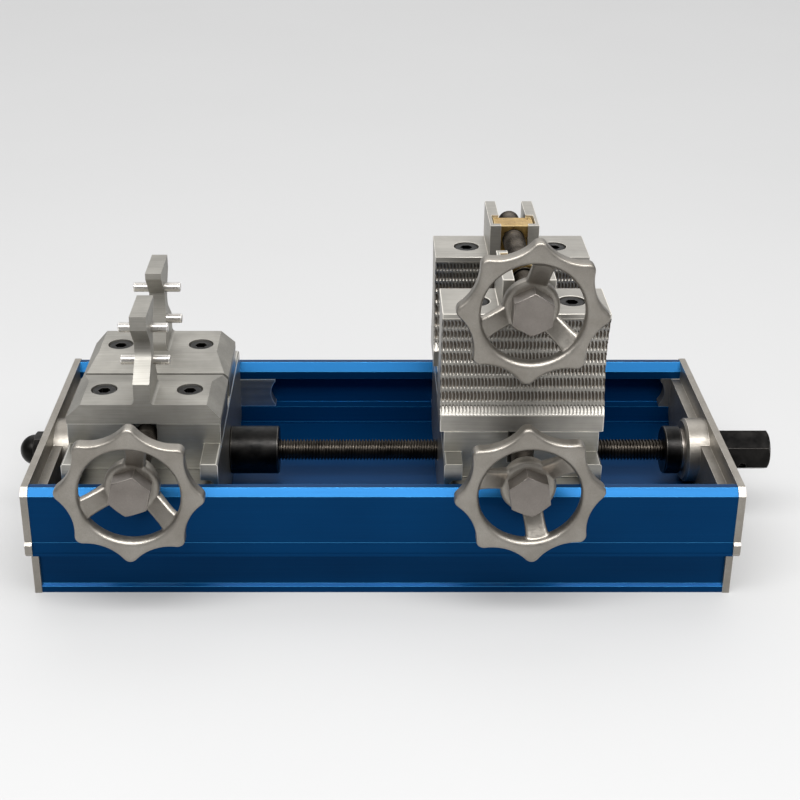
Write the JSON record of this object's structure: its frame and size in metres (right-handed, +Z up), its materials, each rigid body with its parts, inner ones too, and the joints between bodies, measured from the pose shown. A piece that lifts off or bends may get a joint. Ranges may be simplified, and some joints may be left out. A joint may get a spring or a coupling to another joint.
{
  "type": "hose crimping machine",
  "caption": "Bench-top hose press: a channel base with a lead screw, a fixed vise with fitting forks and a travelling vise with hollow toothed hose jaws, closed by handwheels.",
  "frame": {"origin": "on the bench under the middle of the base", "axes": "+X along the lead screw to its drive hexagon, -Y to the handwheels, +Z up"},
  "size_m": [0.4474, 0.2097, 0.2147],
  "materials": {
    "blue_anodised": "blue anodised, satin",
    "cast_aluminium": "cast and bead-blasted",
    "cast_steel": "cast, machined on the working faces",
    "jaw_steel": "machined, dull",
    "black_oxide": "black oxide",
    "rod_steel": "dark oiled threaded rod",
    "nut_steel": "zinc plated",
    "brass": "machined brass, dulled",
    "shoe_aluminium": "machined aluminium"
  },
  "bodies": {
    "frame": {"channel_base": "blue_anodised", "left_end_plate": "cast_aluminium", "right_end_plate": "cast_aluminium", "end_plate_screws": "black_oxide", "left_screw_bushing": "brass", "right_screw_bushing": "brass", "thrust_washer": "nut_steel", "left_vise_bed": "cast_steel", "left_guide_shoes": "shoe_aluminium", "left_screw_retainer": "cast_steel", "stop_sleeve": "black_oxide"},
    "lead_screw_assembly": {"lead_screw": "rod_steel", "drive_hex": "black_oxide", "drive_hex_set_screw": "black_oxide", "acorn_nut": "black_oxide", "thrust_collar": "black_oxide"},
    "left_clamp": {"left_clamp_screw": "rod_steel", "left_clamp_handwheel": "cast_aluminium", "left_clamp_wheel_nut": "nut_steel"},
    "left_front_jaw": {"left_front_slider": "cast_steel", "front_fitting_fork": "cast_steel", "front_fork_pins": "rod_steel", "front_fork_screws": "black_oxide"},
    "left_rear_jaw": {"left_rear_slider": "cast_steel", "rear_fitting_fork": "cast_steel", "rear_fork_pins": "rod_steel", "rear_fork_screws": "black_oxide"},
    "carriage": {"right_vise_bed": "cast_steel", "right_guide_shoes": "shoe_aluminium", "lead_nut": "brass", "right_screw_retainer": "cast_steel"},
    "right_clamp": {"right_clamp_screw": "rod_steel", "right_clamp_handwheel": "cast_aluminium", "right_clamp_wheel_nut": "nut_steel"},
    "right_front_jaw": {"right_front_slider": "cast_steel", "front_hose_jaw": "jaw_steel", "front_jaw_screws": "black_oxide"},
    "right_rear_jaw": {"right_rear_slider": "cast_steel", "rear_hose_jaw": "jaw_steel", "rear_jaw_screws": "black_oxide"},
    "upper_clamp": {"upper_thrust_block": "brass"},
    "upper_nut": {"upper_trunnion_nut": "brass"},
    "upper_screw": {"upper_clamp_screw": "rod_steel", "upper_clamp_handwheel": "cast_aluminium", "upper_clamp_wheel_nut": "nut_steel", "upper_screw_clips": "black_oxide"}
  },
  "joints": [
    {"name": "carriage_slide", "type": "slide", "parent": "frame", "child": "carriage", "axis": [1, 0, 0], "range_m": [-0.09, 0.048]},
    {"name": "lead_screw_spin", "type": "hinge", "parent": "frame", "child": "lead_screw_assembly", "pos_m": [0, 0, 0.051], "axis": [1, 0, 0], "range_deg": [-8850, 16590]},
    {"name": "left_front_slide", "type": "slide", "parent": "frame", "child": "left_front_jaw", "axis": [0, -1, 0], "range_m": [0, 0.02]},
    {"name": "left_rear_slide", "type": "slide", "parent": "frame", "child": "left_rear_jaw", "axis": [0, 1, 0], "range_m": [0, 0.02]},
    {"name": "left_clamp_spin", "type": "hinge", "parent": "frame", "child": "left_clamp", "pos_m": [-0.133, 0, 0.0833], "axis": [0, 1, 0], "range_deg": [-3690, 5]},
    {"name": "right_front_slide", "type": "slide", "parent": "carriage", "child": "right_front_jaw", "axis": [0, -1, 0], "range_m": [-0.01, 0.01]},
    {"name": "right_rear_slide", "type": "slide", "parent": "carriage", "child": "right_rear_jaw", "axis": [0, 1, 0], "range_m": [-0.01, 0.01]},
    {"name": "right_clamp_spin", "type": "hinge", "parent": "carriage", "child": "right_clamp", "pos_m": [0.0765, 0, 0.0833], "axis": [0, 1, 0], "range_deg": [-1846, 1846]},
    {"name": "upper_clamp_lift", "type": "slide", "parent": "right_front_jaw", "child": "upper_clamp", "axis": [0, 0, 1], "range_m": [0, 0.025]},
    {"name": "upper_nut_slide", "type": "slide", "parent": "upper_clamp", "child": "upper_nut", "axis": [0, 1, 0], "range_m": [-0.02, 0.02]},
    {"name": "upper_screw_spin", "type": "hinge", "parent": "upper_clamp", "child": "upper_screw", "pos_m": [0.0765, 0, 0.175], "axis": [0, 1, 0], "range_deg": [-3691, 3691]}
  ],
  "couplings": [
    {"joint": "lead_screw_spin", "follows": "carriage_slide", "rad_per_m": -3215.8},
    {"joint": "left_rear_slide", "follows": "left_front_slide", "ratio": 1},
    {"joint": "left_clamp_spin", "follows": "left_front_slide", "rad_per_m": -3215.8},
    {"joint": "right_rear_slide", "follows": "right_front_slide", "ratio": 1},
    {"joint": "right_clamp_spin", "follows": "right_front_slide", "rad_per_m": -3215.8},
    {"joint": "upper_nut_slide", "follows": "right_front_slide", "ratio": 2},
    {"joint": "upper_screw_spin", "follows": "right_front_slide", "rad_per_m": -6431.6}
  ]
}
